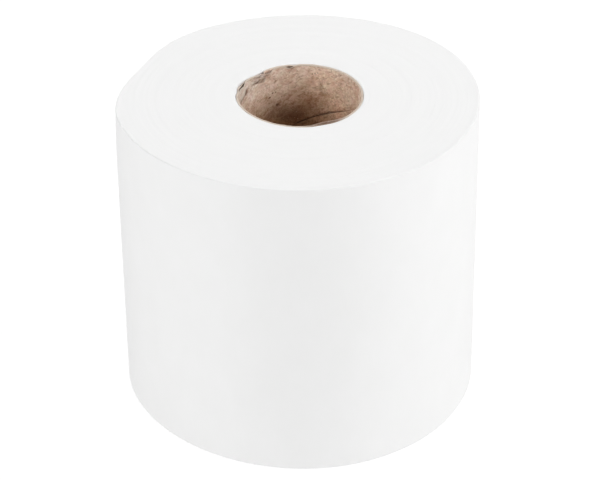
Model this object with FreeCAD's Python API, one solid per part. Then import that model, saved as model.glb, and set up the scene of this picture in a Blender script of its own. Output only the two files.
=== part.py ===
import FreeCAD, Part
import math
import os

Vector = FreeCAD.Vector

# A centre-pull paper towel roll: one long web of tissue wound on a cardboard core. It stands on
# one end, with its axis up through the origin, and the origin is at the middle of the lower end.
# Lengths are in millimetres. Angles are in degrees, round the axis from +X towards +Y.

# Wound paper
ROLL_DIAMETER = 190.0
ROLL_WIDTH = 170.0
SHEET_THICKNESS = 0.165  # a two-ply sheet as it lies in the winding
TAIL_ANGLE = 157.0  # where the outermost sheet ends
LEAD_ANGLE = 60.0  # where the first sheet starts, against the core

# The upper rim is pressed flat at one place
PRESSED_ANGLE = 159.0
PRESSED_DEPTH = 4.3  # at the rim
PRESSED_REACH = 26.0  # how far below the rim it runs out
PRESSED_WIDTH = 80.0  # of the cutting solid, wider than what it cuts

# Core: plies of board, each a strip wound in a left-hand helix with its edges almost meeting
CORE_BORE = 65.0
PLY_COUNT = 2
PLY_THICKNESS = 0.7
STRIP_WIDTH = 87.9
SEAM_GAP = 0.5  # between the two edges of one strip
INNER_SEAM_ANGLE = -35.6  # where the inner ply's seam runs out at the upper end
OUTER_SEAM_ANGLE = 198.0  # the same for the outer ply, about two thirds of a turn on
CORE_SLACK = 0.15  # between the core and the paper wound on it

# Mouth: the upper end of the core is rubbed wider inside, and knocked in at four places
MOUTH_WEAR = 0.4
MOUTH_WEAR_REACH = 14.0
# Each dent: its angle, its depth at the rim, how far down the wall it reaches, its inside radius
DENTS = (
    (158.0, 1.9, 10.0, 6.0),
    (130.0, 2.4, 9.0, 8.0),
    (98.5, 1.1, 5.0, 3.0),
    (-62.0, 1.1, 8.0, 10.0),
)

OVERCUT = 5.0  # how far each cutting solid runs past the end that it cuts

AXIS = Vector(0, 0, 1)
QUARTER_TURN = 90.0


def direction(angle):
    """Unit vector that points out from the axis at an angle."""
    turn = math.radians(angle)
    return Vector(math.cos(turn), math.sin(turn), 0)


def core_wall():
    return PLY_COUNT * PLY_THICKNESS


def core_radius():
    return CORE_BORE / 2 + core_wall()


def spiral_outline(edge_radius, edge_angle):
    """Face inside one turn of the web, whose radius falls by one sheet from its edge and back.

    Four quarter arcs make the turn. Each arc's centre is moved a quarter of a sheet towards the
    end of the arc before it, so the arcs are tangent, and the web's edge closes the outline.
    """
    shift = SHEET_THICKNESS / 4
    centre = Vector(0, 0, 0)
    radius = edge_radius
    edges = []
    for quarter in range(4):
        start_angle = edge_angle + quarter * QUARTER_TURN
        start = centre + direction(start_angle) * radius
        middle = centre + direction(start_angle + QUARTER_TURN / 2) * radius
        outward = direction(start_angle + QUARTER_TURN)
        end = centre + outward * radius
        edges.append(Part.Arc(start, middle, end).toShape())
        centre = centre + outward * shift
        radius = radius - shift
    web_edge = Part.LineSegment(edges[-1].Vertexes[-1].Point, edges[0].Vertexes[0].Point)
    edges.append(web_edge.toShape())
    return Part.Face(Part.Wire(edges))


def pressed_place():
    """Prism whose inner face leans in over the upper rim: what it cuts off is pressed flat."""
    outward = direction(PRESSED_ANGLE)
    sideways = direction(PRESSED_ANGLE + QUARTER_TURN) * PRESSED_WIDTH
    surface = ROLL_DIAMETER / 2
    lean = PRESSED_DEPTH / PRESSED_REACH

    def corner(out, above_rim):
        return outward * out + AXIS * (ROLL_WIDTH + above_rim) - sideways / 2

    below = -PRESSED_REACH - OVERCUT
    corners = [
        corner(surface + lean * OVERCUT, below),
        corner(surface - PRESSED_DEPTH - lean * OVERCUT, OVERCUT),
        corner(surface + 2 * OVERCUT, OVERCUT),
        corner(surface + 2 * OVERCUT, below),
    ]
    return Part.Face(Part.makePolygon(corners + corners[:1])).extrude(sideways)


def paper_roll():
    """The wound web, with a tail outside and a leading edge inside, on a hole for the core."""
    hole_radius = core_radius() + CORE_SLACK
    outside = spiral_outline(ROLL_DIAMETER / 2, TAIL_ANGLE)
    inside = spiral_outline(hole_radius + SHEET_THICKNESS, LEAD_ANGLE)
    return outside.cut(inside).extrude(AXIS * ROLL_WIDTH).cut(pressed_place())


def seam_pitch():
    """Rise of a seam in one turn, where a strip and its gap just cover the tube."""
    across = STRIP_WIDTH + SEAM_GAP
    around = math.pi * CORE_BORE
    return across * around / math.sqrt(around**2 - across**2)


def seam_cutter(inner_radius, outer_radius, top_angle):
    """Helical bar of one gap's width, from below the core to above it, left-handed."""
    pitch = seam_pitch()
    height = ROLL_WIDTH + 2 * OVERCUT
    path_radius = (inner_radius + outer_radius) / 2
    path = Part.makeLongHelix(pitch, height, path_radius, 0, True)
    slope = math.atan2(pitch, 2 * math.pi * path_radius)
    across = Vector(0, math.sin(slope), math.cos(slope)) * (SEAM_GAP / 2)
    outward = Vector(1, 0, 0)
    corners = [
        outward * inner_radius - across,
        outward * outer_radius - across,
        outward * outer_radius + across,
        outward * inner_radius + across,
    ]
    section = Part.makePolygon(corners + corners[:1])
    bar = Part.Wire(path).makePipeShell([section], True, True)
    bar.rotate(Vector(0, 0, 0), AXIS, top_angle + (ROLL_WIDTH + OVERCUT) / pitch * 360)
    bar.translate(AXIS * -OVERCUT)
    return bar


def dent_cylinder(dent, wall):
    """Leaning cylinder whose near side is the dent, grown by the wall to cut the bore."""
    angle, depth, reach, radius = dent
    lean = math.atan2(depth, reach)
    outward = direction(angle)
    axis_at_rim = outward * (core_radius() - depth + radius) + AXIS * ROLL_WIDTH
    downward = outward * math.sin(lean) - AXIS * math.cos(lean)
    top = axis_at_rim - downward * OVERCUT
    length = 2 * OVERCUT + reach / math.cos(lean)
    return Part.makeCylinder(radius + wall, length, top, downward)


def core_bore():
    """The space inside the core: a round bore, wider at the worn mouth, less what is dented in."""
    radius = CORE_BORE / 2
    worn_from = ROLL_WIDTH - MOUTH_WEAR_REACH
    bore = Part.makeCylinder(radius, worn_from + OVERCUT, AXIS * -OVERCUT)
    past_rim = 1 + OVERCUT / MOUTH_WEAR_REACH
    mouth = Part.makeCone(
        radius,
        radius + MOUTH_WEAR * past_rim,
        MOUTH_WEAR_REACH * past_rim,
        AXIS * worn_from,
    )
    bore = bore.fuse(mouth)
    for dent in DENTS:
        bore = bore.cut(dent_cylinder(dent, core_wall()))
    return bore


def core_tube():
    """The board tube, as long as the roll, with a seam in each ply and a dented mouth."""
    outside = core_radius()
    tube = Part.makeCylinder(outside, ROLL_WIDTH)
    for dent in DENTS:
        tube = tube.cut(dent_cylinder(dent, 0))
    tube = tube.cut(core_bore())
    bore = CORE_BORE / 2
    tube = tube.cut(seam_cutter(bore - PLY_THICKNESS, bore + PLY_THICKNESS, INNER_SEAM_ANGLE))
    return tube.cut(seam_cutter(outside - PLY_THICKNESS, outside + PLY_THICKNESS, OUTER_SEAM_ANGLE))


def write(name, shape):
    shape.exportStep(os.path.join("parts", name + ".step"))


os.makedirs("parts", exist_ok=True)
write("paper_roll", paper_roll())
write("core_tube", core_tube())
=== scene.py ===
"""A centre-pull paper towel roll on one end: the wound tissue and the two plies of its core.

Blender 4.5. The model is built in millimetres in the frame of the CAD model and scaled to metres.
Angles are in degrees round the roll's axis, from +X towards +Y. The camera looks along +Y.
"""

import math

import bpy
import numpy as np
from mathutils import Matrix, Vector


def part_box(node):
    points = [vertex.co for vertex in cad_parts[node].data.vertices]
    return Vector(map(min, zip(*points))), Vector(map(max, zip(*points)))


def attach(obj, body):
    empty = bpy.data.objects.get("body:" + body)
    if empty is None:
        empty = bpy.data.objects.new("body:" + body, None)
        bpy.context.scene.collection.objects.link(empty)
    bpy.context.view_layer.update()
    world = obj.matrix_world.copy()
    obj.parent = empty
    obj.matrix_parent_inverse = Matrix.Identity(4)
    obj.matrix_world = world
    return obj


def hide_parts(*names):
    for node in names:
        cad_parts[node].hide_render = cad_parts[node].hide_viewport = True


MM = 0.001

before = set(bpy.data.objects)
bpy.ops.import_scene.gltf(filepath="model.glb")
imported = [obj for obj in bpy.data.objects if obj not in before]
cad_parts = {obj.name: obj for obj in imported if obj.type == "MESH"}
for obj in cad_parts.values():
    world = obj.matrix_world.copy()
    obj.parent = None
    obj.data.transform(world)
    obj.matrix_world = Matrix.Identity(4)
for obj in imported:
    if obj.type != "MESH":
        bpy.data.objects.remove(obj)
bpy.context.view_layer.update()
roll_low, roll_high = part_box("paper_roll")
_, core_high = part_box("core_tube")

HEIGHT = roll_high.z / MM
ROLL_RADIUS = max(-roll_low.x, roll_high.x, -roll_low.y, roll_high.y) / MM
CORE_RADIUS = core_high.x / MM

# Wound paper
SHEET = 0.165  # one two-ply sheet
TAIL_ANGLE = 157.0  # the free end of the outermost sheet
FLAP_COLUMNS = 20  # how many columns the loose tail is long
COLUMN = 1.5  # degrees
SHEET_LENGTH = 375.0  # from one perforation to the next
PERFORATION = 5.0  # one slit and its bond
SLIT_WIDTH = 0.35
HOLE_RADIUS = CORE_RADIUS + 0.15
EDGE_ROUNDING = 0.45  # soft outer edge of both ends

# Core
PLY = 0.7
GLUE_LINE = 0.06
BORE_RADIUS = CORE_RADIUS - 2 * PLY
SEAM_GAP = 0.5
SEAM_PITCH = 98.0
INNER_SEAM_ANGLE = -35.6
OUTER_SEAM_ANGLE = 198.0
MOUTH_WEAR = 0.4
MOUTH_WEAR_REACH = 14.0


# ---------------------------------------------------------------- helpers


def lattice_noise(seed, u, v, wrap):
    """Smooth value noise from -1 to 1. u repeats after wrap cells; v doesn't repeat."""
    u, v = np.broadcast_arrays(np.asarray(u, float), np.asarray(v, float))
    v = v - v.min()
    table = np.random.RandomState(seed).uniform(-1, 1, (wrap, int(v.max()) + 3))
    iu, iv = np.floor(u).astype(int), np.floor(v).astype(int)
    fu, fv = u - iu, v - iv
    fu, fv = fu * fu * (3 - 2 * fu), fv * fv * (3 - 2 * fv)
    a, b = table[iu % wrap, iv], table[(iu + 1) % wrap, iv]
    c, d = table[iu % wrap, iv + 1], table[(iu + 1) % wrap, iv + 1]
    return (a * (1 - fu) + b * fu) * (1 - fv) + (c * (1 - fu) + d * fu) * fv


def wrapped(angle, centre):
    """Signed degrees from centre to angle, the short way round."""
    return (angle - centre + 180.0) % 360.0 - 180.0


def bell(x, half_width):
    return np.exp(-((x / half_width) ** 2))


def grid_faces(index, flip=False):
    """Faces between the neighbouring rows and columns of an array of vertex numbers."""
    quads = np.stack(
        [index[:-1, :-1], index[:-1, 1:], index[1:, 1:], index[1:, :-1]], -1
    ).reshape(-1, 4)
    if flip:
        quads = quads[:, ::-1]
    return tidy_faces(quads.tolist())


def tidy_faces(quads):
    """Quads with a repeated corner become triangles, and those with less are left out."""
    faces = []
    for quad in quads:
        face = [v for i, v in enumerate(quad) if v != quad[i - 1]]
        if len(face) > 2:
            faces.append(face)
    return faces


def mesh_object(name, points, faces, material_of_face, materials):
    mesh = bpy.data.meshes.new(name)
    mesh.from_pydata((np.asarray(points) * MM).tolist(), [], faces)
    for material in materials:
        mesh.materials.append(material)
    mesh.polygons.foreach_set("material_index", np.asarray(material_of_face, np.int32))
    mesh.polygons.foreach_set("use_smooth", np.ones(len(faces), bool))
    mesh.update()
    mesh.validate()
    piece = bpy.data.objects.new(name, mesh)
    bpy.context.scene.collection.objects.link(piece)
    return piece


def point_attribute(piece, name, kind, values):
    attribute = piece.data.attributes.new(name, kind, "POINT")
    field = "vector" if kind == "FLOAT_VECTOR" else "value"
    attribute.data.foreach_set(field, np.asarray(values, np.float32).ravel())


class Graph:
    """Adds nodes to a node tree: an input given a socket is linked, and any other is set."""

    def __init__(self, tree):
        self.tree = tree
        tree.nodes.clear()

    def node(self, kind, inputs=(), **settings):
        made = self.tree.nodes.new(kind)
        for key, value in settings.items():
            setattr(made, key, value)
        for key, value in dict(inputs).items():
            if isinstance(value, bpy.types.NodeSocket):
                self.tree.links.new(value, made.inputs[key])
            else:
                made.inputs[key].default_value = value
        return made

    def math(self, operation, a, b=0.0, c=0.0):
        return self.node("ShaderNodeMath", {0: a, 1: b, 2: c}, operation=operation).outputs[0]

    def spread(self, value, low, high, to_low=0.0, to_high=1.0, smooth=False):
        """Maps low to high onto another range, and holds it there outside."""
        made = self.node(
            "ShaderNodeMapRange",
            {
                "Value": value,
                "From Min": low,
                "From Max": high,
                "To Min": to_low,
                "To Max": to_high,
            },
            interpolation_type="SMOOTHSTEP" if smooth else "LINEAR",
            clamp=True,
        )
        return made.outputs["Result"]

    def scaled(self, vector, factors):
        made = self.node("ShaderNodeVectorMath", {0: vector, 1: factors}, operation="MULTIPLY")
        return made.outputs["Vector"]

    def noise(self, vector, scale, detail=2.0, roughness=0.5, swirl=0.0):
        inputs = {"Vector": vector, "Scale": scale, "Detail": detail, "Roughness": roughness}
        inputs["Distortion"] = swirl
        return self.node("ShaderNodeTexNoise", inputs).outputs["Fac"]

    def mix(self, factor, a, b, blend="MIX"):
        made = self.node("ShaderNodeMix", {}, data_type="RGBA", blend_type=blend)
        for socket, value in zip(
            [made.inputs["Factor"]] + [s for s in made.inputs if s.type == "RGBA"], [factor, a, b]
        ):
            if isinstance(value, bpy.types.NodeSocket):
                self.tree.links.new(value, socket)
            else:
                socket.default_value = value
        return next(s for s in made.outputs if s.type == "RGBA")

    def bump(self, height, strength, distance):
        inputs = {"Height": height, "Strength": strength, "Distance": distance}
        return self.node("ShaderNodeBump", inputs).outputs["Normal"]

    def seen_directly(self):
        """1 for what the camera sees, also in a reflection or through glass, and 0 otherwise."""
        ray = self.node("ShaderNodeLightPath")
        seen = self.math("MAXIMUM", ray.outputs["Is Camera Ray"], ray.outputs["Is Glossy Ray"])
        return self.math("MAXIMUM", seen, ray.outputs["Is Transmission Ray"])

    def output(self, shader):
        self.node("ShaderNodeOutputMaterial", {"Surface": shader})

    def matt_output(self, colour, roughness, specular, normal):
        inputs = {
            "Base Color": colour,
            "Roughness": roughness,
            "Specular IOR Level": specular,
            "Normal": normal,
        }
        self.output(self.node("ShaderNodeBsdfPrincipled", inputs).outputs["BSDF"])


def new_material(name):
    material = bpy.data.materials.new(name)
    material.use_nodes = True
    return material, Graph(material.node_tree)


def grey(value):
    return (value, value, value, 1.0)


# ---------------------------------------------------------------- materials

# The darker and the paler shade of the tissue, on its face and on its cut edges
WEB_SHADES = (0.893, 0.893, 0.890, 1), (0.912, 0.912, 0.911, 1)
WOUND_EDGE_SHADES = (0.908, 0.908, 0.906, 1), (0.923, 0.923, 0.922, 1)

# The same for the board, deep in the core and near its ends: the board darkens from the ends to
# deep in the core as painted shade of the tube's depth, and lint makes the ends paler as well
DEEP_SHADES = (0.285, 0.172, 0.096, 1), (0.52, 0.345, 0.213, 1)
NEAR_END_SHADES = (0.650, 0.442, 0.342, 1), (0.912, 0.768, 0.678, 1)
# Factors that lean the board to pink and to olive
LEANINGS = (1.02, 0.98, 0.985, 1), (0.985, 1.01, 0.95, 1)
# What lies on the board
VEIN = (0.235, 0.105, 0.045, 1)
PALE_FLECK = (0.84, 0.72, 0.60, 1)
DARK_FLECK = (0.18, 0.08, 0.04, 1)
SPECK = (0.13, 0.05, 0.02, 1)
STAIN = (0.30, 0.155, 0.075, 1)
# Pale rubbed board, also the colour of the painted highlight on crease ridges
RUBBED_AND_HIGHLIGHT = (0.70, 0.63, 0.545, 1)
# Painted shade: the colour laid into creases, folds, the open seam and the gaps where shade falls
PAINTED_SHADE_COLOUR = (0.145, 0.082, 0.05, 1)


def web_material():
    """The outermost sheet: soft white tissue with fine crepe lines along the axis."""
    material, g = new_material("tissue_web")
    place = g.node("ShaderNodeTexCoord").outputs["Object"]
    crepe = g.noise(g.scaled(place, (2200.0, 2200.0, 160.0)), 1.0, 3.0, 0.6)
    cloud = g.noise(g.scaled(place, (60.0, 60.0, 45.0)), 1.0, 3.0, 0.55)
    fibre = g.noise(g.scaled(place, (900.0, 900.0, 900.0)), 1.0, 2.0, 0.6)
    tone = g.math("ADD", g.math("MULTIPLY", cloud, 0.7), g.math("MULTIPLY", crepe, 0.3))
    colour = g.mix(g.spread(tone, 0.3, 0.7), *WEB_SHADES)
    height = g.math("ADD", g.math("MULTIPLY", crepe, 0.7), g.math("MULTIPLY", fibre, 0.3))
    g.matt_output(colour, 0.95, 0.15, g.bump(height, 0.35, 0.00012))
    return material


def wound_edge_material():
    """The ends of the roll: the cut edges of some hundreds of turns, as faint close rings."""
    material, g = new_material("tissue_wound_edge")
    place = g.node("ShaderNodeTexCoord").outputs["Object"]
    flat = g.scaled(place, (1.0, 1.0, 0.0))
    radius = g.node("ShaderNodeVectorMath", {0: flat}, operation="LENGTH").outputs["Value"]
    around = g.scaled(flat, (9.0, 9.0, 0.0))
    parts = g.node("ShaderNodeSeparateXYZ", {"Vector": around})

    def rings(per_metre):
        spun = g.node(
            "ShaderNodeCombineXYZ",
            {
                "X": g.math("MULTIPLY", radius, per_metre),
                "Y": parts.outputs["X"],
                "Z": parts.outputs["Y"],
            },
        )
        return g.noise(spun.outputs["Vector"], 1.0, 2.0, 0.6)

    fine, broad = rings(2600.0), rings(260.0)
    lint = g.noise(g.scaled(place, (1500.0, 1500.0, 1500.0)), 1.0, 2.0, 0.6)
    tone = g.math("ADD", g.math("MULTIPLY", fine, 0.5), g.math("MULTIPLY", broad, 0.5))
    colour = g.mix(g.spread(tone, 0.3, 0.7), *WOUND_EDGE_SHADES)
    height = g.math("ADD", g.math("MULTIPLY", fine, 0.7), g.math("MULTIPLY", lint, 0.3))
    g.matt_output(colour, 0.97, 0.12, g.bump(height, 0.3, 0.00015))
    return material


# Places on the inner wall, each its angle, its depth below the mouth, and its half length and
# half width, all but the angle in millimetres.
SPECKS = (
    (111.6, 22.4, 1.1, 0.9),
    (116.0, 14.8, 0.65, 0.5),
    (119.3, 17.1, 0.9, 0.55),
    (119.9, 20.3, 0.4, 0.35),
    (113.0, 14.6, 0.5, 0.4),
    (107.0, 18.0, 0.3, 0.3),
    (78.4, 5.3, 0.35, 0.3),
    (75.9, 5.0, 0.4, 0.35),
    (73.4, 4.4, 0.35, 0.3),
)
STAINS = ((70.0, 11.2, 1.1, 2.6), (70.6, 13.6, 0.9, 1.6), (68.6, 16.4, 1.9, 1.5))

# Broad patches of the inner wall that are paler or darker, or lean to another hue: the angle, the
# depth, the half width and the half height, and how far they move the red, green and blue. The
# hue patches are the board's own; the dark patches deep at the back and in the folded facet at
# 127 to 136 degrees are painted shade, and the pale ones deep on the right wall painted light.
TONE_AND_LIGHT_PATCHES = (
    (55.0, 12.0, 28.0, 16.0, (0.00, -0.01, -0.07)),
    (83.0, 21.5, 7.0, 7.0, (-0.22, -0.32, -0.39)),
    (96.0, 30.0, 9.5, 5.5, (-0.58, -0.65, -0.69)),
    (50.0, 27.0, 5.0, 2.5, (0.35, 0.30, 0.30)),
    (131.0, 8.5, 5.0, 3.5, (0.08, 0.08, 0.08)),
    (118.0, 24.5, 8.0, 5.0, (-0.18, -0.19, -0.20)),
    (152.0, 6.0, 17.0, 9.0, (-0.01, 0.09, 0.14)),
    (69.0, 9.0, 8.0, 8.0, (0.16, 0.15, 0.14)),
    (53.0, 22.0, 8.0, 6.0, (0.22, 0.17, 0.13)),
    (68.0, 31.5, 9.0, 2.5, (0.25, 0.22, 0.20)),
    (10.0, 6.0, 6.0, 8.0, (0.08, 0.09, 0.08)),
    (127.5, 4.2, 1.9, 1.8, (-0.20, -0.24, -0.25)),
    (136.3, 4.0, 2.3, 1.6, (-0.30, -0.33, -0.33)),
    (143.0, 11.5, 5.0, 2.6, (0.12, 0.14, 0.18)),
    (42.0, 2.4, 7.0, 2.2, (-0.13, -0.13, -0.13)),
)
# Painted shade on the rims of both plies at the back left, a bluish grey standing in for the
# gap behind them in shade, written the same way
BACK_RIM_SHADE = (131.2, 0.1, 2.6, 1.1, (-0.52, -0.43, -0.34))


def board_material(name, is_face):
    """Recycled grey-brown board: blotches, fibres along the strip, specks, and pale worn edges.

    Its attributes are strip, the place on the strip in millimetres, and tint, a factor on the
    colour that also holds painted light and shade; and from 0 to 1 wear_and_highlight, the
    paleness of rubbed edges and the painted highlight on crease ridges, lint, which pales the
    board near the ends from lint and darkens it deeper in the core as painted shade, and
    painted_shade, the shade painted into creases, folds, the open seam and the gaps.
    """
    material, g = new_material(name)

    def attribute(name, output="Fac"):
        return g.node("ShaderNodeAttribute", {}, attribute_name=name).outputs[output]

    strip = attribute("strip", "Vector")
    wear_and_highlight, lint, painted_shade = (attribute(label) for label in ("wear_and_highlight", "lint", "painted_shade"))

    def moved(by):
        made = g.node("ShaderNodeVectorMath", {0: strip, 1: (by, -by, 0.0)}, operation="ADD")
        return made.outputs["Vector"]

    def layer(along, across, detail, by=0.0, swirl=0.0):
        """Noise with so many cells a millimetre along and across the strip."""
        place = g.scaled(moved(by) if by else strip, (along, across, 1.0))
        return g.noise(place, 1.0, detail, 0.55, swirl)

    blotch = layer(0.15, 0.21, 3.0, 0.0, 0.8)
    fibres = layer(0.30, 0.40, 2.0, 0.0, 1.6)
    grain = layer(1.0, 1.3, 2.0)
    off_grain = g.math("SUBTRACT", grain, 0.5)
    tone = g.math("MULTIPLY", blotch, 0.40)
    tone = g.math("ADD", tone, g.math("MULTIPLY", fibres, 0.42))
    # The grain is stronger in patches, and stronger deep in the core than near its ends.
    coarse = g.spread(layer(0.16, 0.22, 1.0, 33.0), 0.42, 0.60, 0.10, 0.42)
    coarse = g.math("ADD", coarse, g.spread(lint, 0.3, 1.0, 0.35, 0.0))
    tone = g.math("ADD", tone, g.math("MULTIPLY", off_grain, coarse))
    tone = g.spread(tone, 0.305, 0.515)
    # Painted shade: the board darkens from the ends to deep in the core
    colour = g.mix(lint, g.mix(tone, *DEEP_SHADES), g.mix(tone, *NEAR_END_SHADES))

    # Patches lean to pink or to olive.
    hue = g.spread(layer(0.21, 0.3, 2.0, 51.0), 0.35, 0.65)
    colour = g.mix(1.0, colour, g.mix(hue, *LEANINGS), "MULTIPLY")
    colour = g.mix(1.0, colour, attribute("tint", "Vector"), "MULTIPLY")

    # Short dark veins lie where a noise crosses its middle value.
    def veins(along, across, by, half_width, amount):
        off_middle = g.math("ABSOLUTE", g.math("SUBTRACT", layer(along, across, 1.0, by), 0.5))
        line = g.spread(off_middle, 0.0, half_width, 1.0, 0.0)
        here = g.spread(layer(0.3, 0.4, 1.0, by + 9.0), 0.47, 0.62)
        return g.math("MULTIPLY", g.math("MULTIPLY", line, here), amount)

    dark = g.math("ADD", veins(0.17, 0.42, 23.0, 0.06, 0.44), veins(0.36, 0.22, 77.0, 0.05, 0.40))
    colour = g.mix(dark, colour, VEIN)

    def flecks(along, across, by, least, amount):
        """Sparse ragged spots, where a noise is at its highest."""
        return g.spread(layer(along, across, 2.0, by), least, least + 0.05, 0.0, amount)

    colour = g.mix(flecks(0.9, 1.2, 3.7, 0.66, 0.6), colour, PALE_FLECK)
    colour = g.mix(flecks(0.7, 0.95, 11.3, 0.70, 0.3), colour, DARK_FLECK)

    def mark(place, near_edge, far_edge, most):
        """An oval spot with a ragged edge on the inner wall."""
        angle, depth, long, wide = place
        middle = strip_place(np.array(angle - 360.0), np.array(depth))
        apart = g.node("ShaderNodeVectorMath", {0: strip, 1: tuple(middle)}, operation="SUBTRACT")
        size = g.scaled(apart.outputs["Vector"], (1 / long, 1 / wide, 0.0))
        far = g.node("ShaderNodeVectorMath", {0: size}, operation="LENGTH").outputs["Value"]
        ragged = g.math("ADD", far, g.math("MULTIPLY", grain, 0.8))
        return g.spread(ragged, near_edge, far_edge, most, 0.0)

    if is_face:
        for place in SPECKS:
            colour = g.mix(mark(place, 0.9, 1.6, 0.85), colour, SPECK)
        for place in STAINS:
            colour = g.mix(mark(place, 0.6, 1.9, 0.6), colour, STAIN)

    # The grain makes the edges of the rubbed places, the painted highlights and the painted shade
    # ragged.
    rough = g.math("MULTIPLY", off_grain, 0.9)
    # Paleness of rubbed edges, and painted highlight on the crease ridges
    rubbed = g.spread(g.math("ADD", wear_and_highlight, rough), 0.25, 0.75, smooth=True)
    rubbed = g.math("MULTIPLY", rubbed, 0.8 if is_face else 0.65)
    colour = g.mix(rubbed, colour, RUBBED_AND_HIGHLIGHT)
    # Painted shade in the creases, folds, open seam and gaps
    shade_share = g.spread(g.math("ADD", painted_shade, rough), 0.15, 0.95, 0.0, 0.8)
    colour = g.mix(shade_share, colour, PAINTED_SHADE_COLOUR)
    height = g.math("ADD", g.math("MULTIPLY", fibres, 0.5), g.math("MULTIPLY", grain, 0.5))
    g.matt_output(colour, 0.9, 0.2, g.bump(height, 0.22, 0.0003))
    return material


# ---------------------------------------------------------------- the mouth


# How far from round the hole in the paper is at the mouth, as waves round the axis: how many
# there are in a turn, and how much of each is a cosine and a sine
MOUTH_MEAN = -0.10
MOUTH_WAVES = ((1, 0.13, 0.79), (2, -0.56, -0.38), (3, -0.30, 0.07))
OVAL_REACH = 90.0  # how far down the hole is round again
KNOCK_REACH = 7.0  # how far down the knocks reach
# The knocks at the mouth: how far each pushes the paper in, its angle and its half width
BIG_KNOCK = (1.85, 134.0, 11.5)
SMALL_KNOCKS = ((-0.55, 158.0, 6.0), (0.6, 172.0, 4.5), (0.45, -71.0, 9.0))


def mouth_fade(depth, reach, power=1.5):
    """1 at the mouth, falling to 0 at the reach."""
    return np.clip(1 - depth / reach, 0, 1) ** power


def with_waves(mean, angle, waves):
    turn = np.radians(angle)
    for count, cosine, sine in waves:
        mean = mean + cosine * np.cos(count * turn) + sine * np.sin(count * turn)
    return mean


def knock(place, angle):
    push, middle, half_width = place
    return push * bell(wrapped(angle, middle), half_width)


def hole_radius(angle, depth):
    """Radius of the hole in the paper: not round at the mouth, and pushed in by the knocks."""
    oval = with_waves(MOUTH_MEAN, angle, MOUTH_WAVES)
    bulge = knock(BIG_KNOCK, angle)
    for place in SMALL_KNOCKS:
        bulge = bulge + knock(place, angle)
    oval = oval * mouth_fade(depth, OVAL_REACH)
    return HOLE_RADIUS + oval - bulge * mouth_fade(depth, KNOCK_REACH)


def arc(angle, centre):
    """Millimetres round the wall from an angle, the short way."""
    return np.radians(wrapped(angle, centre)) * BORE_RADIUS


def core_gap(angle, depth):
    """How far the knocks have parted the core from the paper."""
    gap = 0.45 * bell(arc(angle, 159.5), 2.9) * mouth_fade(depth, 12.0, 1.0)
    left = -arc(angle, 130.0 + 1.68 * depth)
    right = arc(angle, 123.6)
    hinge = 0.46 * (6.4 - depth - 0.05 * arc(angle, 131.0))
    facet = np.clip(np.minimum(hinge, np.minimum(left * 1.5, right * 1.5)), 0, None)
    # The core is flat at the big knock, and the paper follows it only in part.
    gap = np.maximum(gap, facet - knock(BIG_KNOCK, angle) * mouth_fade(depth, KNOCK_REACH))
    gap = gap + 0.6 * bell(arc(angle, 130.5), 2.4) * mouth_fade(depth, 6.0)
    gap = gap + 0.12 * bell(wrapped(angle, 182.0), 17.0) * mouth_fade(depth, 12.0)
    return gap + 0.25 * bell(arc(angle, -62.0), 6.5) * mouth_fade(depth, 9.0)


def ply_gap(angle, depth):
    """How far the inner ply has come away from the outer one."""
    gap = 1.8 * bell(arc(angle, 159.0), 4.4) * mouth_fade(depth, 10.0, 1.0)
    gap = gap + 1.9 * bell(arc(angle, 120.0), 3.5) ** 2 * mouth_fade(depth, 5.5)
    gap = gap + 2.0 * bell(arc(angle, 97.3), 2.0) * mouth_fade(depth, 4.0)
    return gap + 2.0 * bell(arc(angle, -66.0), 7.5) * mouth_fade(depth, 7.0)


# ---------------------------------------------------------------- wound paper

# How far from round the roll is, written as the waves of the mouth are
ROLL_WAVES = ((1, -1.03, -1.22), (2, 0.28, -0.12), (3, -0.62, 0.67))
# Where the upper rim is pressed flat
PRESSED_ANGLE = 159.0
PRESSED_DEPTH = 5.9
PRESSED_HALF_WIDTH = 19.4  # degrees
PRESSED_REACH = 28.0
# The ends of the roll aren't quite level
LIP_RINGS = 5  # rings of faces from the rim to where the end lies at its mean level
END_SUNK = 0.16  # how far that is below the rim
HOLE_EDGE_SUNK = 0.12  # and the edge of the hole below that
FINE_RING, FINE_RISE = 0.55, 0.05  # width and height of the finest rings
BROAD_RING, BROAD_RISE = 4.5, 0.05
TOP_RINGS, BOTTOM_RINGS = 112, 60
# Rows of the hole's wall, closer together where the knocks are
HOLE_ROW_DEPTHS = (0.7, 1.5, 2.5, 3.6, 5.0, 7.0, 12.0, 24.0, 45.0, 75.0, 110.0, 150.0)


def outline(angle, height):
    """Radius of the wound paper without the spiral: not quite round, and flattened at one place."""
    radius = with_waves(ROLL_RADIUS, angle, ROLL_WAVES)
    pressed = PRESSED_DEPTH * bell(wrapped(angle, PRESSED_ANGLE), PRESSED_HALF_WIDTH)
    radius = radius - pressed * mouth_fade(HEIGHT - height, PRESSED_REACH)
    slack = lattice_noise(5, angle / 360 * 24, height / 28.0, 24)
    return radius + 0.10 * slack


def spiral(angle):
    """How far the web has fallen at an angle counted on from the tail."""
    return -SHEET * (angle - TAIL_ANGLE) / 360.0


def rounding(from_end):
    """How far the outer surface draws in towards an end of the roll."""
    left = np.clip(EDGE_ROUNDING - from_end, 0, EDGE_ROUNDING)
    return EDGE_ROUNDING - np.sqrt(EDGE_ROUNDING**2 - left**2)


def tail_lift(share, height):
    """Height of the loose tail over the turn below it; share runs from 0 at its edge to 1."""
    uneven = lattice_noise(21, np.zeros_like(height), height / 34.0, 1)
    curl = 0.55 + 0.45 * uneven + 0.9 * bell(height - 8.0, 22.0)
    curl = curl * (1 - 0.6 * bell(height - HEIGHT, 45.0))
    ripple = 1 + 0.25 * np.sin(height / 11.0 + 5 * share)
    return curl * ripple * (1 - share) ** 2


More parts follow.
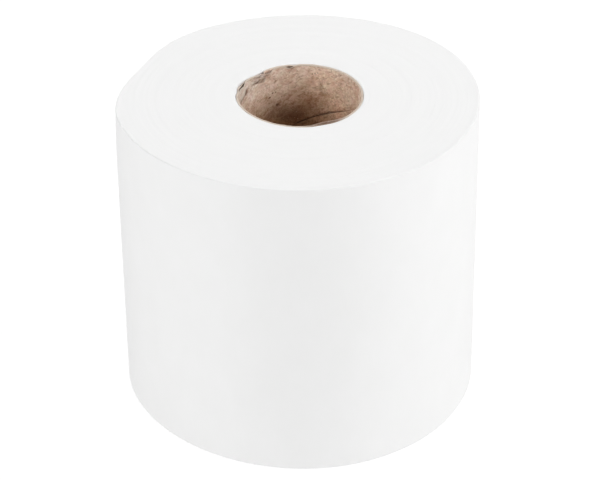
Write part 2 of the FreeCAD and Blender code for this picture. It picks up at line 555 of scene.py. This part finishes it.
def wound_paper():
    """One closed mesh: the spiral outside with its loose tail, both ends, and the hole."""
    perforation = TAIL_ANGLE + math.degrees(SHEET_LENGTH / ROLL_RADIUS)
    slit = math.degrees(SLIT_WIDTH / ROLL_RADIUS)
    angles = TAIL_ANGLE + COLUMN * np.arange(int(360 / COLUMN) + 1)
    angles = angles[np.abs(angles - perforation) > 2 * slit]
    angles = np.sort(np.append(angles, [perforation - slit, perforation, perforation + slit]))
    slit_column = int(np.argmin(np.abs(angles - perforation)))
    last, flap = len(angles) - 1, FLAP_COLUMNS
    under = angles[: flap + 1] + 360.0

    step = PERFORATION / 4
    heights = np.arange(1, int(HEIGHT / step)) * step
    heights = np.concatenate([[0.12, 0.45], heights, [HEIGHT - 0.45, HEIGHT - 0.12]])
    flap_rows = slice(2, len(heights) - 2)

    def surface(angle_row, extra=0.0):
        a, z = np.meshgrid(angle_row, heights)
        inset = rounding(np.minimum(z, HEIGHT - z))
        return a, z, outline(a, z) + spiral(a) - inset + extra

    points, number = [], 0

    def add(a, z, r):
        nonlocal number
        turn = np.radians(a)
        points.append(np.stack([r * np.cos(turn), r * np.sin(turn), z], -1).reshape(-1, 3))
        made = number + np.arange(a.size).reshape(a.shape)
        number += a.size
        return made

    # Outer surface. Under the tail it is the tail's own outer side, lifted.
    a, z, r = surface(angles)
    share = np.clip(np.arange(last + 1) / flap, 0, 1)[None, :] * np.ones_like(z)
    lift = tail_lift(share, z)
    # The tail's edge is torn along its perforation: the bonds stand out as short tufts.
    tufts = np.random.RandomState(8).uniform(0.3, 1.0, len(heights))
    is_bond = np.arange(len(heights)) % 4 == 1
    a[:, 0] -= np.where(is_bond, tufts, 0.0) / ROLL_RADIUS * 57.3
    # The next perforation round: three rows of four are a slit.
    is_slit = np.arange(len(heights)) % 4 != 1
    r[:, slit_column] -= np.where(is_slit, 0.30, 0.03)
    r[:, slit_column - 1] -= np.where(is_slit, 0.0, 0.02)
    outer = add(a, z, r + lift)

    # Under side of the tail, and the turn below it.
    b, zb, rb = surface(under)
    body = add(b[:, 1:], zb[:, 1:], rb[:, 1:])
    body = np.concatenate([outer[:, -1:], body], 1)
    inner_side = add(a[flap_rows, :flap], z[flap_rows, :flap], (r + lift)[flap_rows, :flap] - SHEET)
    inner_side = np.concatenate([inner_side, body[flap_rows, flap:]], 1)

    faces, kinds = [], []

    def use(new_faces, kind):
        faces.extend(new_faces)
        kinds.extend([kind] * len(new_faces))

    use(grid_faces(outer[:, flap:]), 0)
    use(grid_faces(outer[flap_rows, : flap + 1]), 0)
    use(grid_faces(body), 0)
    use(grid_faces(inner_side, flip=True), 0)
    tip = np.stack([inner_side[:, 0], outer[flap_rows, 0]], 1)
    use(grid_faces(tip), 0)
    top_edge = np.stack([outer[flap_rows, : flap + 1][-1], inner_side[-1]])
    use(grid_faces(top_edge), 0)
    low_edge = np.stack([inner_side[0], outer[flap_rows, : flap + 1][0]])
    use(grid_faces(low_edge), 0)
    rows = np.arange(len(heights))
    for part in (rows[:3], rows[-3:]):
        use(grid_faces(np.stack([body[part, flap], outer[part, flap]], 1)), 0)

    # The ends, from the rim inwards, with the wound edge not quite level.
    def rim(row):
        return np.concatenate([outer[row, flap:], body[row, 1:]])

    ring_angles = np.concatenate([angles[flap:], under[1:-1]])

    def end_rings(count, seed, is_top):
        share = np.linspace(1.0, 0.0, count)[:, None]
        a = np.broadcast_to(ring_angles[None, :], (count, len(ring_angles)))
        edge = outline(a, HEIGHT if is_top else 0.0) + spiral(a) - EDGE_ROUNDING
        hole = hole_radius(a, 0.0 if is_top else HEIGHT)
        r = hole + (edge - hole) * share
        turns = a / 360.0
        fine = lattice_noise(seed, turns * 9, r / FINE_RING, 9)
        broad = lattice_noise(seed + 1, turns * 5, r / BROAD_RING, 5)
        sunk = END_SUNK + FINE_RISE * fine + BROAD_RISE * broad
        sunk = sunk * np.clip(np.arange(count) / LIP_RINGS, 0, 1)[:, None]
        sunk[-1] += HOLE_EDGE_SUNK
        return add(a, (HEIGHT - sunk) if is_top else sunk, r)

    def closed(rings):
        return np.concatenate([rings, rings[:, :1]], 1)

    top, bottom = end_rings(TOP_RINGS, 31, True), end_rings(BOTTOM_RINGS, 41, False)
    a, depth = np.meshgrid(ring_angles, HOLE_ROW_DEPTHS)
    wall = add(a, HEIGHT - depth, hole_radius(a, depth))
    use(grid_faces(np.concatenate([rim(-1)[None], closed(top)[:1]])), 1)
    use(grid_faces(closed(top)), 1)
    use(grid_faces(closed(np.concatenate([top[-1:], wall, bottom[-1:]]))), 1)
    use(grid_faces(closed(bottom[::-1])), 1)
    use(grid_faces(np.concatenate([closed(bottom)[:1], rim(0)[None]])), 1)
    use([[int(body[-1, flap]), int(outer[-1, flap]), int(top[0, 0])]], 1)
    use([[int(outer[0, flap]), int(body[0, flap]), int(bottom[0, 0])]], 1)

    materials = [web_material(), wound_edge_material()]
    return mesh_object("wound_paper", np.concatenate(points), faces, kinds, materials)


# ---------------------------------------------------------------- core

SEAM_SLOPE = math.atan2(SEAM_PITCH, 2 * math.pi * BORE_RADIUS)
# The seam is shut near the mouth. Places along it are the degrees it has gone down from there.
SEAM_OPENS = 76.0
SEAM_OPENING_RUN = 16.0
SHUT_SHARE = 0.04  # the part of the gap that is left where it is shut
SEAM_SAG = 0.95  # how far it hangs below a true helix where it opens
SEAM_SAG_AT, SEAM_SAG_HALF_WIDTH = 80.0, 15.0
# Rows of a ply, closer together near its upper edge. PLY_ROWS_REACH stands for the lower edge.
PLY_ROW_DEPTHS = np.concatenate(
    [np.arange(0, 12, 0.43), np.arange(12, 27, 1.0), np.arange(27, 46, 1.9)]
)
PLY_ROWS_REACH = 45.6

# Where fibres are torn away at the rim: how far down at most, the angle and the half width
INNER_TEARS = ((0.5, 128.5, 3.0), (1.1, 121.0, 4.2), (1.2, 100.6, 1.5), (0.6, 131.0, 2.6))
OUTER_TEARS = ((0.5, 128.5, 3.0), (1.1, 155.0, 4.0), (0.6, 94.6, 1.8))

# Lines on the inner wall. Each has its strength, its two ends as angle and depth, and its half
# width. The creases' strengths are heights; the others are shares of full paleness or full
# painted shade: the pale lines are painted highlights on the crease ridges, partly pale torn
# fibres, and the dark lines are painted shade in the folds and creases.
CREASES = (
    (0.28, (139.5, 6.8), (123.0, 7.3), 0.7),
    (0.30, (125.0, 6.0), (126.4, 2.8), 0.7),
    (0.30, (139.5, 4.4), (134.5, 2.9), 0.9),
    (-0.25, (140.4, 6.0), (134.0, 5.3), 0.6),
    (-0.36, (148.4, 6.0), (151.0, 9.0), 1.2),
    (0.35, (154.5, 4.8), (165.0, 6.8), 1.3),
    (-0.25, (151.5, 8.8), (163.0, 9.7), 1.2),
    (0.25, (143.5, 6.0), (147.0, 10.0), 1.0),
    (-0.22, (127.9, 9.5), (144.0, 13.0), 1.1),
    (-0.18, (121.0, 11.0), (133.0, 15.5), 1.1),
    (0.15, (131.0, 9.0), (118.0, 8.0), 1.3),
)
# Painted highlights on the crease ridges, partly pale torn fibres
RIDGE_HIGHLIGHT_LINES = (
    (0.45, (138.0, 7.4), (124.0, 7.9), 0.8),
    (0.8, (124.8, 6.0), (126.4, 2.8), 0.8),
    (0.7, (154.5, 4.6), (165.0, 6.4), 1.0),
)
# Painted shade along the folds and creases
FOLD_SHADE_LINES = (
    (0.5, (140.6, 5.7), (134.4, 4.9), 0.8),
    (0.5, (134.4, 4.9), (132.4, 2.6), 0.8),
    (0.35, (134.0, 5.4), (128.0, 5.9), 0.7),
    (0.2, (127.6, 5.6), (128.6, 2.8), 0.5),
    (0.6, (127.0, 3.0), (121.5, 1.9), 0.6),
    (0.65, (148.2, 6.0), (149.4, 7.6), 1.2),
    (0.6, (149.4, 7.6), (162.5, 9.7), 1.5),
)


def strip_place(angle, depth):
    """Place on a ply in millimetres, along and across its strip, from angle and depth."""
    round_it = np.radians(angle) * BORE_RADIUS
    along = round_it * math.cos(SEAM_SLOPE) + depth * math.sin(SEAM_SLOPE)
    across = -round_it * math.sin(SEAM_SLOPE) + depth * math.cos(SEAM_SLOPE)
    return np.stack([along, across, np.zeros_like(along)], -1)


def line_bell(angle, depth, start, end, half_width):
    """1 on a line between two places on the wall, falling away on both sides of it."""
    x, y = np.radians(wrapped(angle, start[0])) * BORE_RADIUS, depth - start[1]
    dx, dy = math.radians(end[0] - start[0]) * BORE_RADIUS, end[1] - start[1]
    along = np.clip((x * dx + y * dy) / (dx * dx + dy * dy), 0, 1)
    return bell(np.hypot(x - along * dx, y - along * dy), half_width)


def creases(angle, depth):
    """Small wrinkles that the knocks left in the inner ply; positive towards the axis."""
    raised = 0.0
    for rise, start, end, half_width in CREASES:
        raised = raised + rise * line_bell(angle, depth, start, end, half_width)
    return raised


class Strip:
    """A strip wound in a left-hand helix: where its edges run and how open its seam is."""

    def __init__(self, seam_angle):
        self.seam_angle = seam_angle
        self.gap = SEAM_GAP / math.cos(SEAM_SLOPE)

    def turned(self, angle):
        """Degrees that the seam has gone down from the mouth."""
        return angle - self.seam_angle

    def parting(self, turned):
        """From 0 to 1, how far the seam is open."""
        return np.clip((turned - SEAM_OPENS) / SEAM_OPENING_RUN, 0, 1)

    def opening(self, turned):
        """Height of the seam's gap."""
        uneven = 0.9 + 0.45 * lattice_noise(80, turned / 360 * 33, np.zeros_like(turned), 400)
        return self.gap * uneven * (SHUT_SHARE + (1 - SHUT_SHARE) * self.parting(turned))

    def span(self, angle):
        """Heights of the strip's lower and upper edge, cut off level at both ends of the core."""

        def sag(turned):
            return SEAM_SAG * bell(turned - SEAM_SAG_AT, SEAM_SAG_HALF_WIDTH)

        turned = self.turned(angle)
        seam = HEIGHT - SEAM_PITCH * turned / 360.0 - sag(turned)
        low = seam + sag(turned) - sag(turned + 360.0) - SEAM_PITCH
        low = low + self.opening(turned + 360.0) / 2
        return np.clip(low, 0, HEIGHT), np.clip(seam - self.opening(turned) / 2, 0, HEIGHT)

    def angles(self, fine_columns):
        """Angles of the columns, finest in the turn that shows at the mouth."""
        sliver = 0.05 / SEAM_PITCH * 360.0
        first = self.seam_angle - 360.0 + self.gap / 2 / SEAM_PITCH * 360.0 + sliver
        final = self.seam_angle + (HEIGHT - 0.7 * self.gap) / SEAM_PITCH * 360.0 - sliver
        stops = [first, self.seam_angle, self.seam_angle + 150.0, final]
        widths = (fine_columns, 2 * fine_columns, 4.0)
        angles = [np.arange(a, b, width) for a, b, width in zip(stops, stops[1:], widths)]
        return np.append(np.concatenate(angles), final)


def rim_drop(a, depth, seed, is_inner):
    """How far the fibres at the rim are worn down, and torn away at the knocks."""
    wave = lattice_noise(seed + 1, a / 360 * 160, np.zeros_like(a), 160)
    wave = 0.6 * wave + 0.4 * lattice_noise(seed + 2, a / 360 * 41, np.zeros_like(a), 41)
    torn = 0.0
    for most, angle, half_width in INNER_TEARS if is_inner else OUTER_TEARS:
        torn = torn + most * bell(arc(a, angle), half_width)
    return (0.28 + 0.14 * wave) * np.exp(-depth / 1.5) + torn * np.exp(-depth / 4.0)


def ply(name, inside, outside, seam_angle, is_inner, fine_columns):
    """One strip of board wound in a helix, as a closed mesh with a painted surface."""
    strip = Strip(seam_angle)
    angles = strip.angles(fine_columns)
    share = np.append(1 - PLY_ROW_DEPTHS / PLY_ROWS_REACH, 0.0)[::-1]
    low, high = strip.span(angles)
    a = np.broadcast_to(angles[None, :], (len(share), len(angles)))
    z = low + (high - low) * share[:, None]
    depth = HEIGHT - z

    # How near a place is to the strip's edges, and how open the seam is there
    to_upper, to_lower = (high - z) * math.cos(SEAM_SLOPE), (z - low) * math.cos(SEAM_SLOPE)
    turned = strip.turned(angles)
    below_seam = ((high < HEIGHT - 0.01) * (0.1 + 0.9 * strip.parting(turned)))[None, :]
    above_seam = ((low > 0.01) * (0.1 + 0.9 * strip.parting(turned + 360.0)))[None, :]

    # Shape of the wall
    seed = 60 if is_inner else 70
    r_out = hole_radius(a, depth) - (HOLE_RADIUS - CORE_RADIUS) - core_gap(a, depth)
    r_out = r_out - 0.06 * (1 + lattice_noise(60, a / 360 * 20, depth / 11.0, 20))
    if is_inner:
        r_out = r_out - (CORE_RADIUS - outside) - ply_gap(a, depth)
    r_in = r_out - (outside - inside)
    drop = rim_drop(a, depth, seed, is_inner)
    if is_inner:
        ragged = 1 + 0.5 * lattice_noise(seed + 3, a / 360 * 90, np.zeros_like(a), 90)
        r_in = r_in - creases(a, depth)
        r_in = r_in - 0.10 * ragged * bell(to_upper, 0.9) * below_seam
        r_in = r_in - 0.12 * ragged * bell(to_lower, 1.0) * above_seam
        r_in = r_in + MOUTH_WEAR * np.clip(1 - depth / MOUTH_WEAR_REACH, 0, 1)
    fuzz = 0.05 * lattice_noise(seed + 4, a / 360 * 240, depth / 0.9, 240) * np.exp(-depth / 1.5)
    r_in = np.minimum(r_in + fuzz, r_out - 0.2)
    z = z - drop * (z > 1)
    turn = np.radians(a)

    def shell(r):
        return np.stack([r * np.cos(turn), r * np.sin(turn), z], -1).reshape(-1, 3)

    points = np.concatenate([shell(r_in), shell(r_out)])
    inner = np.arange(a.size).reshape(a.shape)
    outer = inner + a.size
    faces = grid_faces(inner, flip=True) + grid_faces(outer)
    kinds = [0] * len(faces)
    edges = grid_faces(np.stack([outer[-1], inner[-1]]))
    edges += grid_faces(np.stack([inner[0], outer[0]]))
    edges += grid_faces(np.stack([inner[:, 0], outer[:, 0]], 1))
    edges += grid_faces(np.stack([outer[:, -1], inner[:, -1]], 1))
    faces += edges
    kinds += [1] * len(edges)
    piece = mesh_object(name, points, faces, kinds, [BOARD, CUT_BOARD])

    # Paleness at rubbed edges: the rim, and both sides of the seam; on the inner ply also painted
    # highlight along the crease ridges
    wear_and_highlight = 1 - bell(arc(a, 128.5), 3.5) - 0.9 * bell(arc(a, -66.0), 12.0)
    wear_and_highlight = wear_and_highlight * np.exp(-((depth / 0.6) ** 2))
    wear_and_highlight = wear_and_highlight + 0.15 * np.exp(-depth / 2.5)
    wear_and_highlight = wear_and_highlight + 0.55 * bell(wrapped(a, 168.0), 24.0) * np.exp(-depth / 9.0)
    if is_inner:
        wear_and_highlight = wear_and_highlight + 0.3 * bell(to_upper, 0.8) * below_seam
        wear_and_highlight = wear_and_highlight + 0.2 * bell(to_lower, 0.5) * above_seam
        # Painted highlight along the crease ridges
        for strength, start, end, half_width in RIDGE_HIGHLIGHT_LINES:
            wear_and_highlight = wear_and_highlight + strength * line_bell(a, depth, start, end, half_width)
    in_seam = bell(to_upper, 0.3) * below_seam if is_inner else np.zeros_like(a)
    paint(piece, a, depth, wear_and_highlight, in_seam, is_inner)
    return piece


def paint(piece, a, depth, wear_and_highlight, in_seam, is_inner):
    """Gives a ply the attributes that the board's material reads, first inside and then outside."""
    painted_shade = np.zeros_like(a)
    if is_inner:
        # Painted shade: in the pushed-in facet, at the torn rim, and along the folds and creases
        painted_shade = 0.12 * np.clip((core_gap(a, depth) - 0.2) / 0.5, 0, 1) * bell(arc(a, 130.0), 5.0)
        painted_shade = painted_shade + 0.4 * bell(arc(a, 128.5), 3.0) * np.exp(-depth / 0.8)
        for strength, start, end, half_width in FOLD_SHADE_LINES:
            painted_shade = painted_shade + strength * line_bell(a, depth, start, end, half_width)
    # Painted shade between the plies where they have parted, as no light gets down there.
    lip = 0.15 + 1.0 * bell(arc(a, 120.0), 3.8)
    parted = np.clip(ply_gap(a, depth) / 0.6, 0, 1) * np.clip((depth - lip) / 0.4, 0, 1)
    parted = parted * (1 - 0.45 * bell(arc(a, 120.0), 4.5))
    # Painted shade inside the open seam.
    painted_shade, parted = painted_shade + 0.9 * in_seam, parted + 1.5 * in_seam
    # Painted shade on the rims of both plies at the front right, where the gap between them lies in
    # shade.
    front_rim_shade = (0.8 if is_inner else 1.0) * bell(arc(a, -66.0), 11.5) * np.exp(-depth / 0.7)
    painted_shade, parted = painted_shade + front_rim_shade, parted + front_rim_shade
    on_inside, on_outside = (painted_shade, parted) if is_inner else (parted, painted_shade)

    # Painted light and shade of the tube's depth: the board darkens deeper in the core, and stays
    # pale further down on the right wall, where more light gets in; lint pales the ends as well.
    reach = 22.5 + 5.0 * np.cos(np.radians(a - 35.0))
    from_end = np.minimum(depth, HEIGHT - depth)
    lint = 1 - np.clip((from_end / reach) ** 2.2 / 2, 0, 1)
    pairs = (("wear_and_highlight", wear_and_highlight, wear_and_highlight), ("lint", lint, lint), ("painted_shade", on_inside, on_outside))

    place = strip_place(a, depth)
    offset = np.array([0.0, 0.0, 0.0]) if is_inner else np.array([37.0, 19.0, 0.0])
    back = place + np.array([11.0, 7.0, 0.0])
    both = np.concatenate([(place + offset).reshape(-1, 3), (back + offset).reshape(-1, 3)])
    point_attribute(piece, "strip", "FLOAT_VECTOR", both)
    # The tint holds the board's hue patches, painted light and shade from the patches, and the
    # painted shade at the back left rim, on the inside face only
    tint = np.ones(a.shape + (3,))
    for angle, middle_depth, half_width, half_height, moves in (BACK_RIM_SHADE, *(TONE_AND_LIGHT_PATCHES * is_inner)):
        near = bell(arc(a, angle), half_width) * bell(depth - middle_depth, half_height)
        tint = tint + near[..., None] * np.array(moves)
    tints = np.concatenate([tint.reshape(-1, 3), np.ones((a.size, 3))])
    point_attribute(piece, "tint", "FLOAT_VECTOR", tints)
    for label, first, second in pairs:
        values = np.clip(np.concatenate([first.ravel(), second.ravel()]), 0, 1)
        point_attribute(piece, label, "FLOAT", values)


# ---------------------------------------------------------------- make the pieces

BOARD = board_material("board_face", True)
CUT_BOARD = board_material("board_cut_edge", False)

paper = wound_paper()
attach(paper, "root")
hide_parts("paper_roll")

middle = BORE_RADIUS + PLY
inner_ply = ply(
    "core_inner_ply", BORE_RADIUS, middle - GLUE_LINE / 2, INNER_SEAM_ANGLE, True, 0.8
)
outer_ply = ply(
    "core_outer_ply", middle + GLUE_LINE / 2, CORE_RADIUS, OUTER_SEAM_ANGLE, False, 1.0
)
for board_piece in (inner_ply, outer_ply):
    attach(board_piece, "root")
    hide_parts("core_tube")


# ---------------------------------------------------------------- floor, light and camera


# In metres
FLOOR_SIZE = 8.0
FLOOR_DROP = 0.0003  # below the roll, so that the two faces don't lie in one plane
# How grey the floor is and how strongly it shines where it lights the roll
FLOOR_GREY, FLOOR_SHINE = 0.25, 0.655
# The same where the camera sees it: the grey takes the shadow, and the shine, given for two
# distances from the roll's axis, brings the rest to white.
SEEN_GREY = 0.30
NEAR, SHINE_NEAR = 0.5, 0.78
FAR, SHINE_FAR = 1.4, 1.0


def make_floor():
    """A floor that the camera sees as white, with the roll's shadow on it."""
    corners = [(-1, -1), (1, -1), (1, 1), (-1, 1)]
    points = [(x * FLOOR_SIZE / 2, y * FLOOR_SIZE / 2, -FLOOR_DROP) for x, y in corners]
    mesh = bpy.data.meshes.new("floor")
    mesh.from_pydata(points, [], [(0, 1, 2, 3)])
    floor = bpy.data.objects.new("floor", mesh)
    bpy.context.scene.collection.objects.link(floor)
    material, g = new_material("studio_floor")
    matt = g.node("ShaderNodeBsdfDiffuse", {"Color": grey(FLOOR_GREY)})
    lit = g.node("ShaderNodeEmission", {"Color": grey(1.0), "Strength": FLOOR_SHINE})
    plain = g.node("ShaderNodeAddShader", {0: matt.outputs[0], 1: lit.outputs[0]})
    shaded = g.node("ShaderNodeBsdfDiffuse", {"Color": grey(SEEN_GREY)})
    place = g.node("ShaderNodeTexCoord").outputs["Object"]
    far = g.node("ShaderNodeVectorMath", {0: place}, operation="LENGTH").outputs["Value"]
    glow = g.spread(far, NEAR, FAR, SHINE_NEAR, SHINE_FAR, smooth=True)
    white = g.node("ShaderNodeEmission", {"Color": grey(1.0), "Strength": glow})
    looks = g.node("ShaderNodeAddShader", {0: shaded.outputs[0], 1: white.outputs[0]})
    sides = {0: g.seen_directly(), 1: plain.outputs[0], 2: looks.outputs[0]}
    both = g.node("ShaderNodeMixShader", sides)
    g.output(both.outputs[0])
    mesh.materials.append(material)


AMBIENT = 0.2
BOX_SIZE = 1.6
BOX_DISTANCE = 3.2
# Each soft box: its azimuth and elevation, and its watts
SOFT_BOXES = (
    ("right", 0.0, 39.8, 54.4),
    ("left", 180.0, 39.8, 30.5),
    ("back", 90.0, 38.8, 29.6),
    ("front", -90.0, 17.5, 21.2),
    ("front_left", -135.0, 16.6, 15.4),
    ("front_right", -45.0, 16.6, 8.1),
)


def make_light():
    world = bpy.data.worlds.new("studio")
    bpy.context.scene.world = world
    world.use_nodes = True
    g = Graph(world.node_tree)
    ambient = g.node("ShaderNodeBackground", {"Color": grey(1.0), "Strength": AMBIENT})
    backdrop = g.node("ShaderNodeBackground", {"Color": grey(1.0), "Strength": 1.0})
    sides = {0: g.seen_directly(), 1: ambient.outputs[0], 2: backdrop.outputs[0]}
    both = g.node("ShaderNodeMixShader", sides)
    g.node("ShaderNodeOutputWorld", {"Surface": both.outputs[0]})

    aim = Vector((0.0, 0.0, HEIGHT * MM / 2))
    for name, azimuth, elevation, watts in SOFT_BOXES:
        lamp = bpy.data.lights.new("soft_box_" + name, "AREA")
        lamp.shape, lamp.size, lamp.energy = "SQUARE", BOX_SIZE, watts
        holder = bpy.data.objects.new(lamp.name, lamp)
        a, e = math.radians(azimuth), math.radians(elevation)
        out = Vector((math.cos(a) * math.cos(e), math.sin(a) * math.cos(e), math.sin(e)))
        holder.location = aim + out * BOX_DISTANCE
        holder.rotation_mode = "QUATERNION"
        holder.rotation_quaternion = (-out).to_track_quat("-Z", "Y")
        bpy.context.scene.collection.objects.link(holder)


# The camera's place, in metres and degrees
CAMERA_DISTANCE, CAMERA_TARGET = 1.2938, (0.0, 0.0, 0.085)
CAMERA_ELEVATION, CAMERA_ROLL = 31.91, -0.71
LENS, SENSOR_WIDTH = 144.0, 36.0
LENS_SHIFT = (-1.6 / 600, -6.2 / 600)  # in widths of the frame


def make_camera():
    """A long lens from a little above, turned slightly about its own axis."""
    elevation, roll = math.radians(CAMERA_ELEVATION), math.radians(CAMERA_ROLL)
    back = Vector((0.0, -math.cos(elevation), math.sin(elevation)))
    level_right = Vector((1.0, 0.0, 0.0))
    level_up = back.cross(level_right)
    right = level_right * math.cos(roll) + level_up * math.sin(roll)
    up = level_up * math.cos(roll) - level_right * math.sin(roll)
    lens = bpy.data.cameras.new("camera")
    lens.lens, lens.sensor_width = LENS, SENSOR_WIDTH
    lens.shift_x, lens.shift_y = LENS_SHIFT
    lens.clip_start, lens.clip_end = 0.05, 20.0
    camera = bpy.data.objects.new("camera", lens)
    turn = Matrix((right, up, back)).transposed().to_4x4()
    place = Vector(CAMERA_TARGET) + back * CAMERA_DISTANCE
    camera.matrix_world = Matrix.Translation(place) @ turn
    bpy.context.scene.collection.objects.link(camera)
    bpy.context.scene.camera = camera


make_floor()
make_light()
make_camera()
bpy.context.scene.view_settings.view_transform = "Standard"
